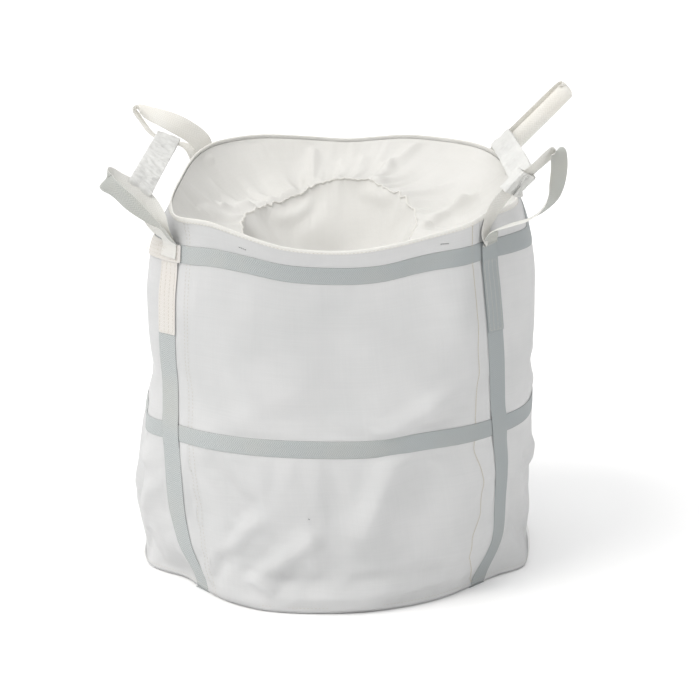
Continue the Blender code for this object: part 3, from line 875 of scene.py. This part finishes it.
def make_base(paint):
    rings, spokes = 30, 128
    angles = np.linspace(0, 2 * np.pi, spokes, endpoint=False)
    edge = surface(angles, 0.0, -0.001)
    grid = np.empty((rings, spokes, 3))
    for r, part in enumerate(np.linspace(0.02, 1.0, rings)):
        grid[r] = edge * part
        wrinkle = noise_row([(p[0] * 9, p[1] * 9, 0.7) for p in grid[r]])
        grid[r, :, 2] = 0.0062 + 0.0012 * wrinkle * math.sin(math.pi * part)
    made = two_sided("base_cloth", grid, CLOTH, (0.018, 3.4 / spokes), ring=True, edge=0.9)
    dressed(finer(made), paint["wall"], "bag", "wall_cloth", "base_panel")
    # the gathered seam round the foot of the wall
    angles = np.linspace(0, 2 * np.pi, 512, endpoint=False)
    heights = np.array([0.0032, 0.005, 0.007, 0.009, 0.011])
    gather = round_noise(angles, 22, 5.0)
    grid = np.empty((len(heights), len(angles), 3))
    for r, height in enumerate(heights):
        low = surface(angles, 0.0, -0.0020 + 0.0010 * gather * (1 if r % 2 else 0.4))
        grid[r] = low
        grid[r, :, 2] = height + 0.0012 * gather * (r == len(heights) - 1)
    made = two_sided("base_seam_cloth", grid, 0.0014, (0.0036, 3.45 / len(angles)), ring=True)
    swap_uv(made)
    dressed(made, paint["wall"], "bag", "thread", "base_seam")
    for first, last, rise in (("front_left", "back_right", 0.0), ("front_right", "back_left", 0.0024)):
        ends = [surface(corner_angle(c, 0.0), 0.0, 0.0014) for c in (first, last)]
        part = np.linspace(0, 1, 61)[:, None]
        line = ends[0] + (ends[1] - ends[0]) * part
        line[:, 2] = 0.0011 + rise * (smooth_step(0.40, 0.45, part) - smooth_step(0.55, 0.60, part))[:, 0]
        side = np.cross((ends[1] - ends[0]) / np.linalg.norm((ends[1] - ends[0])), (0, 0, 1))
        across = np.linspace(-0.5, 0.5, 7)[None, :, None] * STRAP_WIDTH
        grid = line[:, None, :] + across * side[None, None, :]
        name = "base_strap_" + first + "_to_" + last
        made = two_sided(name + "_webbing", grid, 0.0020, (1.15 / 61, STRAP_WIDTH / 6))
        dressed(made, paint["webbing"], "bag", "webbing", name)


# ---- top panel and spout

TOP_SHARE = 0.9895       # height share of the line where the top panel is sewn in
SEAM_BACK_RISE = 0.40    # rise of the spout's seam for each metre towards the back
SEAM_RADII = (0.250, 0.222)
TOP_SAG = 0.030          # how far the top panel hangs between the rim and the spout
PLEAT_HEIGHT = 0.010
SPOUT_LEAN = 0.170       # how far the tucked-in spout lies over to the front
CREASE_DEPTH, CREASE_ANGLE, CREASE_WIDTH = 0.080, 93, 6.0
# Ridges in the top panel: both ends in plan, height and half width, in millimetres
TOP_FOLDS = (
    (-103, 330, -104, 450, 16, 16), (-160, 270, -260, 420, 12, 40),
    (90, 275, 130, 390, 14, 18), (130, 390, 228, 475, 14, 20),
    (30, 310, 50, 420, 8, 20), (476, 189, 346, 140, 22, 20),
    (346, 140, 240, 34, 20, 18), (400, 120, 300, 30, -10, 30),
    (-400, 300, -372, 0, 14, 24), (-387, -17, -338, 122, 10, 14),
    (-338, 122, -160, 255, 12, 14), (-200, -120, -340, -340, 14, 30),
    (100, -160, 220, -420, 14, 30), (-40, -170, -80, -440, 12, 26),
)


def seam_ring(angles):
    """The gathered seam between the top panel and the spout, slumped towards the front."""
    gather = round_noise(angles, 13, 1.5)
    fine = round_noise(angles, 30, 8.5)
    spread = 1 + 0.035 * gather + 0.020 * fine
    x = SPOUT_CENTRE[0] + SEAM_RADII[0] * np.cos(angles) * spread
    y = SPOUT_CENTRE[1] + SEAM_RADII[1] * np.sin(angles) * spread
    z = SPOUT_SEAM_Z + SEAM_BACK_RISE * (y - SPOUT_CENTRE[1])
    sag = np.angle(np.exp(1j * (angles - math.radians(128)))) / math.radians(34)
    z = z + 0.006 * gather + 0.005 * fine - 0.050 * np.exp(-(sag**2))
    return np.stack([x, y, z], axis=-1)


def make_top(paint):
    rows = 30
    column = np.arange(COLUMNS)
    outer_angles = np.array([float(wall_angle(c, TOP_SHARE)) for c in column])
    outer = surface(outer_angles, TOP_SHARE, -0.0030)
    inner = seam_ring(outer_angles)
    grid = np.empty((rows, COLUMNS, 3))
    pleats = sum(
        height * np.cos(count * outer_angles + turn + 1.7 * np.sin(3 * outer_angles + turn))
        for count, turn, height in ((37, 0.4, 0.35), (23, 2.1, 0.45), (13, 4.0, 0.5))
    )
    for r, part in enumerate(np.linspace(0, 1, rows)):
        line = outer + (inner - outer) * part
        line[:, 2] -= TOP_SAG * np.sin(np.pi * part)
        line[:, 2] += PLEAT_HEIGHT * pleats * part**1.5 * (1 - smooth_step(0.9, 1.0, part))
        free = (1 - smooth_step(0.93, 1.0, part)) * float(smooth_step(0.0, 0.12, part))
        line[:, 2] += fold_height(line[:, 0], line[:, 1], np.array(TOP_FOLDS) / 1000) * free
        grid[r] = line
    points = grid.reshape(-1, 3)
    pins = np.zeros((rows, COLUMNS))
    pins[0] = pins[-1] = 1
    points = draped(points, grid_faces(rows, COLUMNS, True), pins.reshape(-1), 16,
                    growth=0.012, bending=1.5, tension=20.0, gravity=0.6)
    grid = points.reshape(rows, COLUMNS, 3)
    made = two_sided("top_panel_cloth", grid, CLOTH, (0.011, 3.4 / COLUMNS), ring=True, edge=0.3)
    dressed(finer(made), paint["inner"], "bag", "inner_cloth", "top_panel")
    make_welt(paint, inner)
    make_spout(paint, inner)


def make_welt(paint, ring):
    """The rolled, gathered seam where the spout is sewn to the top panel."""
    sides = 8
    count = len(ring)
    points, uvs, faces = [], [], []
    for c, place in enumerate(ring):
        outward = np.array((place[0] - SPOUT_CENTRE[0], place[1] - SPOUT_CENTRE[1], 0.0))
        outward /= np.linalg.norm(outward)
        pinch = noise.noise(Vector(place) * 60.0)
        for k in range(sides):
            turn = 2 * math.pi * k / sides
            reach = 0.0034 * (1 + 0.45 * pinch)
            points.append(place + outward * reach * math.cos(turn) + (0, 0, reach * math.sin(turn)))
            uvs.append((c * SPOUT_GIRTH / count, k * 0.003))
    for c in range(count):
        for k in range(sides):
            a, b = c * sides, (c + 1) % count * sides
            d = (k + 1) % sides
            faces.append((a + k, b + k, b + d, a + d))
    made = finer(new_object("spout_seam_welt", points, faces, uvs))
    dressed(made, paint["hem"], "bag", "inner_cloth")


def make_spout(paint, seam):
    rows = 34
    angles = np.arctan2(seam[:, 1] - SPOUT_CENTRE[1], seam[:, 0] - SPOUT_CENTRE[0])
    grid = np.empty((rows, COLUMNS, 3))
    flutes = sum(
        height * np.cos(count * angles + turn + 1.2 * np.sin(2 * angles + turn))
        for count, turn, height in ((5, 0.9, 0.9), (9, 2.2, 0.5), (17, 0.3, 0.2))
    )
    for r, part in enumerate(np.linspace(0, 1, rows)):
        pull = smooth_step(0.0, 0.35, part)
        end = float(smooth_step(0.52, 0.88, part))
        radius = 1 + (0.075 * flutes - 0.10) * pull * (1 - end)
        edge = 1.005 - 0.015 * float(smooth_step(0.0, 0.05, part)) - 0.012 * end
        slope = float(smooth_step(-0.15, 0.55, part) - smooth_step(-0.15, 0.55, 0.0))
        slope *= 1.15 * (1 - end)
        off = (np.degrees(angles) - CREASE_ANGLE) / CREASE_WIDTH
        crease = CREASE_DEPTH * np.exp(-(off**2)) * slope
        x = SPOUT_CENTRE[0] + (seam[:, 0] - SPOUT_CENTRE[0]) * radius * edge * (1 + 0.10 * slope)
        y = SPOUT_CENTRE[1] + (seam[:, 1] - SPOUT_CENTRE[1]) * radius * edge * (1 - 0.45 * slope)
        y = y - SPOUT_LEAN * slope - crease
        grid[r] = np.stack([x, y, seam[:, 2] - 0.0006 - SPOUT_LENGTH * part], axis=-1)
    points = grid.reshape(-1, 3)
    pins = np.zeros((rows, COLUMNS))
    pins[0] = 1
    points = draped(points, grid_faces(rows, COLUMNS, True), pins.reshape(-1), 14,
                    growth=0.004, bending=1.0, tension=20.0, gravity=0.8)
    grid = points.reshape(rows, COLUMNS, 3)
    made = two_sided("spout_cloth", grid, CLOTH, (SPOUT_LENGTH / rows, SPOUT_GIRTH / COLUMNS), ring=True,
                     edge=0.9, normals=-grid_normals(grid, ring=True))
    dressed(finer(made), paint["spout"], "spout", "inner_cloth", "filling_spout")
    hem = grid[-3:]
    made = two_sided("spout_hem_cloth", hem, 0.0036, (0.011, SPOUT_GIRTH / COLUMNS), ring=True)
    dressed(finer(made), paint["inner"], "spout", "thread", "spout_hem")


# ---- lift loops and sleeves

def smooth_path(points, steps, closed=False):
    """Catmull-Rom curve through rows of numbers."""
    points = np.asarray(points, float)
    count = len(points)
    made = []
    for i in range(count if closed else count - 1):
        if closed:
            a, b, c, d = (points[(i + k) % count] for k in (-1, 0, 1, 2))
        else:
            b, c = points[i], points[i + 1]
            a = points[i - 1] if i else 2 * b - c
            d = points[i + 2] if i + 2 < count else 2 * c - b
        for s in range(steps):
            t = s / steps
            made.append(0.5 * (2 * b + (c - a) * t + (2 * a - 5 * b + 4 * c - d) * t * t
                               + (3 * b - a - 3 * c + d) * t**3))
    if not closed:
        made.append(points[-1])
    return np.array(made)


def ribbon(name, stations, width, thickness, steps=8, closed=False, cups=None, columns=9):
    """A band along a path. Each station is a point and the direction of the band's width there.
    cups bends the band across its width, in radians from edge to edge."""
    rows = [(*place, *direction) for place, direction in stations]
    if cups is not None:
        rows = [(*row, cup) for row, cup in zip(rows, cups)]
    line = smooth_path(rows, steps, closed)
    centre, across = line[:, :3], line[:, 3:6]
    if closed:
        tangent = np.roll(centre, -1, axis=0) - np.roll(centre, 1, axis=0)
    else:
        tangent = np.gradient(centre, axis=0)
    tangent /= np.linalg.norm(tangent, axis=1, keepdims=True)
    across = across - tangent * (across * tangent).sum(axis=1, keepdims=True)
    across /= np.linalg.norm(across, axis=1, keepdims=True)
    normal = np.cross(tangent, across)
    offsets = np.linspace(-0.5, 0.5, columns) * width
    cup = line[:, 6] if cups is not None else np.full(len(line), 0.02)
    cup = np.where(np.abs(cup) < 0.02, 0.02, cup)
    turn = offsets[None, :] * cup[:, None] / width
    bend = width / cup[:, None]
    flat, lift = np.sin(turn) * bend, (1 - np.cos(turn)) * bend
    lift = lift - lift.mean(axis=1, keepdims=True)
    grid = centre[:, None] + across[:, None] * flat[..., None] + normal[:, None] * lift[..., None]
    length = np.linalg.norm(np.diff(centre, axis=0), axis=1).mean()
    made = two_sided(name, grid, thickness, (length, width / (columns - 1)), tube=closed)
    return finer(made)


def leg_station(corner, share, out):
    angle = corner_angle(corner, share)
    place = surface(angle, share, out)
    ahead = surface(angle + 0.02, share, out)
    direction = (ahead - place) / np.linalg.norm(ahead - place)
    return tuple(place), tuple(direction)


# For each loop: height share of its leg's first and last station, how far the band is cupped in
# radians, and its path: the place in millimetres and the direction of its width in hundredths
LOOP_PATHS = {
    "front_left": (0.895, 0.928, 0.25, (
        (-437, -406, 1036, 20, -93, 28), (-473, -415, 1069, 35, -75, 50),
        (-523, -410, 1111, 45, -50, 68), (-570, -395, 1148, 42, -50, 60),
        (-594, -380, 1167, 50, -10, 65), (-586, -368, 1172, 42, 40, 45),
        (-568, -362, 1163, 40, 60, 38), (-526, -356, 1138, 40, 62, 36),
        (-492, -358, 1105, 45, 50, 40), (-466, -372, 1066, 55, 10, 40),
        (-442, -384, 1028, 62, -55, 20),
    )),
    "back_left": (0.862, 0.890, 0.3, (
        (-440, 405, 1050, -67, -74, -5), (-432, 402, 1095, -62, -50, -35),
        (-442, 388, 1132, -52, -15, -75), (-480, 370, 1168, -45, -10, -82),
        (-533, 355, 1198, -38, -55, -66), (-586, 345, 1220, -28, -80, -42),
        (-620, 337, 1238, -12, -94, -10), (-626, 330, 1230, -10, -95, 5),
        (-610, 325, 1206, -10, -93, 12), (-578, 322, 1165, -10, -93, 12),
        (-536, 335, 1143, -10, -93, 12), (-485, 362, 1118, -20, -92, 10),
        (-448, 396, 1062, -60, -78, 0),
    )),
    "back_right": (0.862, 0.890, 2.0, (
        (438, 428, 1060, -70, 70, 10), (462, 415, 1110, -70, 40, 45),
        (503, 392, 1156, -70, 22, 66), (578, 370, 1237, -68, 20, 68),
        (640, 352, 1303, -68, 20, 68), (655, 341, 1309, -68, 20, 68),
        (642, 332, 1294, -68, 20, 68), (584, 348, 1229, -68, 20, 68),
        (512, 372, 1150, -70, 22, 66), (470, 398, 1100, -70, 40, 45),
        (448, 414, 1055, -70, 70, 10),
    )),
    "front_right": (0.920, 0.930, 0.5, (
        (420, -432, 1053, 35, 90, -25), (440, -404, 1104, 50, 80, -33),
        (478, -372, 1149, 48, 79, -38), (518, -350, 1182, 42, 82, -36),
        (559, -340, 1218, 42, 82, -36), (590, -335, 1246, 50, 78, -34),
        (604, -335, 1253, 65, 68, -15), (608, -338, 1232, 75, 62, 0),
        (608, -345, 1198, 72, 64, 5), (601, -360, 1162, 65, 72, 0),
        (587, -380, 1132, 45, 88, -10), (562, -402, 1104, 12, 95, -22),
        (530, -418, 1086, 6, 96, -14), (484, -432, 1074, 12, 95, -6),
        (440, -440, 1056, 45, 85, -4),
    )),
}


LOOP_LEVELS = (0.0098, 0.0124)  # the loop's two ends on the leg, from the wall's middle
# The face of a loop's webbing that gets painted shade: a greyer copy of the webbing on the face turned from
# the light
SHADED_FACE = {"front_left": 0, "front_right": 1}


def make_loops(paint):
    first, second = LOOP_LEVELS
    for corner, (low, high, cup, path) in LOOP_PATHS.items():
        stations = [(np.array(row[:3]) / 1000, np.array(row[3:]) / 100) for row in path]
        rows = [leg_station(corner, low, first), leg_station(corner, high, first), *stations,
                leg_station(corner, high, second), leg_station(corner, low, second)]
        cups = [0.0, 0.0] + [cup] * len(stations) + [0.0, 0.0]
        made = ribbon(corner + "_loop_webbing", rows, STRAP_WIDTH * 0.96, WEBBING, cups=cups)
        dressed(made, paint["loop_webbing"], None, "loop_webbing", corner + "_lift_loop")
        # painted shade: the loop's face that lies in shadow gets the greyer copy
        made.data.materials.append(paint["loop_shaded_face"])
        walls = (len(made.data.polygons) - 2 * 8) // 2 * 2
        grey = SHADED_FACE.get(corner, -1)
        for number, face in enumerate(made.data.polygons):
            face.material_index = int(number < walls and number % 2 == grey)
        foot = np.array(leg_station(corner, high, first)[0])
        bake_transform(made)


SLEEVES = {
    "left": (((-0.510, -0.345, 1.140), (0.80, 0.0, -0.58)), ((-0.522, -0.10, 1.138), (0.88, 0.0, -0.45)),
             ((-0.533, 0.345, 1.150), (0.95, 0.0, -0.30))),
    "right": (((0.485, -0.392, 1.186), (0.68, 0.10, 0.72)), ((0.504, -0.358, 1.170), (0.68, 0.10, 0.72)),
              ((0.520, -0.318, 1.158), (0.70, 0.05, 0.71)), ((0.504, -0.05, 1.158), (0.76, 0.0, 0.65)),
              ((0.466, 0.385, 1.150), (0.73, 0.0, 0.67))),
}


SLEEVE_WIDTH, SLEEVE_CLOTH = 0.072, 0.0009
CRINKLE_HEIGHT, CRINKLE_SCALE, CRINKLE_SEED = 0.0055, 30.0, 4.0


def make_sleeves(paint):
    """Flat tubes of thin cloth round the loops' strands, crinkled along their length."""
    for side, places in SLEEVES.items():
        line = smooth_path([(*p, *d) for p, d in places], 12)
        count = len(line)
        along = np.gradient(line[:, :3], axis=0)
        stations = []
        for sign, order in ((1, range(count)), (-1, range(count - 1, -1, -1))):
            for i in order:
                place, direction = line[i, :3].copy(), line[i, 3:]
                normal = np.cross(direction, along[i])
                normal /= np.linalg.norm(normal)
                if normal[2] < 0:
                    normal = -normal
                end = min(i, count - 1 - i) / (count - 1)
                swell = 0.0055 + 0.0030 * math.exp(-((end / 0.08) ** 2))
                stations.append((tuple(place + normal * sign * swell), tuple(direction)))
        made = ribbon(side + "_sleeve_cloth", stations, SLEEVE_WIDTH, SLEEVE_CLOTH, steps=4,
                      closed=True, columns=15)
        crinkle(made)
        dressed(made, paint["sleeve"], "front_" + side + "_loop", "inner_cloth",
                side + "_connector_sleeve")


def crinkle(obj):
    """Moves both faces of a sheet together by ridged noise."""
    mesh = obj.data
    count = len(mesh.vertices) // 2
    points = np.empty(len(mesh.vertices) * 3, np.float32)
    mesh.vertices.foreach_get("co", points)
    points = points.reshape(-1, 3)
    front, back = points[:count], points[count:]
    normal = front - back
    normal /= np.maximum(np.linalg.norm(normal, axis=1, keepdims=True), 1e-9)
    values = ridged(front, CRINKLE_SCALE, 3, (CRINKLE_SEED, CRINKLE_SEED * 2.3, 0.0))
    values = (values - values.mean()) * CRINKLE_HEIGHT
    points[:count] += normal * values[:, None]
    points[count:] += normal * values[:, None]
    mesh.vertices.foreach_set("co", points.ravel())
    mesh.update()


# ---- stage

SKY_LEVEL = 0.80
SKY_SLOPES = (-0.10, 0.10, 0.34)
SUN_STRENGTH = 1.4
SUN_ANGLE = math.radians(34)
SUN_DIRECTION = (0.54, 0.33, -0.78)
FLOOR_SIZE = 30.0


def make_stage():
    bpy.ops.mesh.primitive_plane_add(size=FLOOR_SIZE, location=(0, 0, 0))
    floor = bpy.context.object
    floor.name = "floor"
    g = Graph("floor")
    g.shader.inputs["Base Color"].default_value = (0.97, 0.97, 0.97, 1)
    g.shader.inputs["Roughness"].default_value = 0.9
    floor.data.materials.append(g.material)
    world = bpy.data.worlds.new("studio")
    world.use_nodes = True
    nodes, links = world.node_tree.nodes, world.node_tree.links
    background = nodes["Background"]
    background.inputs["Color"].default_value = (1.0, 1.0, 1.0, 1)
    # the studio is brightest behind and above the bag, and dimmer in front and on the right
    place = nodes.new("ShaderNodeTexCoord").outputs["Generated"]
    split = nodes.new("ShaderNodeSeparateXYZ")
    links.new(place, split.inputs[0])
    level = SKY_LEVEL
    for output, slope in zip(split.outputs, SKY_SLOPES):
        step = nodes.new("ShaderNodeMath")
        step.operation = "MULTIPLY_ADD"
        links.new(output, step.inputs[0])
        step.inputs[1].default_value = slope
        if isinstance(level, float):
            step.inputs[2].default_value = level
        else:
            links.new(level, step.inputs[2])
        level = step.outputs[0]
    links.new(level, background.inputs["Strength"])
    bpy.context.scene.world = world
    light = bpy.data.lights.new("key", "SUN")
    light.energy = SUN_STRENGTH
    light.angle = SUN_ANGLE
    light.color = (1.0, 0.985, 0.96)
    sun = bpy.data.objects.new("key", light)
    sun.rotation_euler = Vector(SUN_DIRECTION).to_track_quat("-Z", "Y").to_euler()
    bpy.context.scene.collection.objects.link(sun)


def make_camera():
    azimuth, elevation, distance = math.radians(3.5), math.radians(16.5), 5.95
    target = Vector((0.035, 0.0, 0.595))
    away = Vector((math.sin(azimuth) * math.cos(elevation),
                   -math.cos(azimuth) * math.cos(elevation), math.sin(elevation)))
    data = bpy.data.cameras.new("camera")
    data.lens = 105.3
    data.sensor_width = 36.0
    camera = bpy.data.objects.new("camera", data)
    camera.location = target + away * distance
    camera.rotation_euler = (-away).to_track_quat("-Z", "Y").to_euler()
    bpy.context.scene.collection.objects.link(camera)
    bpy.context.scene.camera = camera


# ---- the whole scene

def main():
    scene = bpy.context.scene
    scene.view_settings.view_transform = "Standard"
    make_camera()
    make_stage()
    paint = make_materials()
    seams = make_walls(paint)
    make_webbing(paint)
    make_stitching(paint, *seams)
    make_hem(paint)
    make_base(paint)
    make_top(paint)
    make_loops(paint)
    make_sleeves(paint)


main()
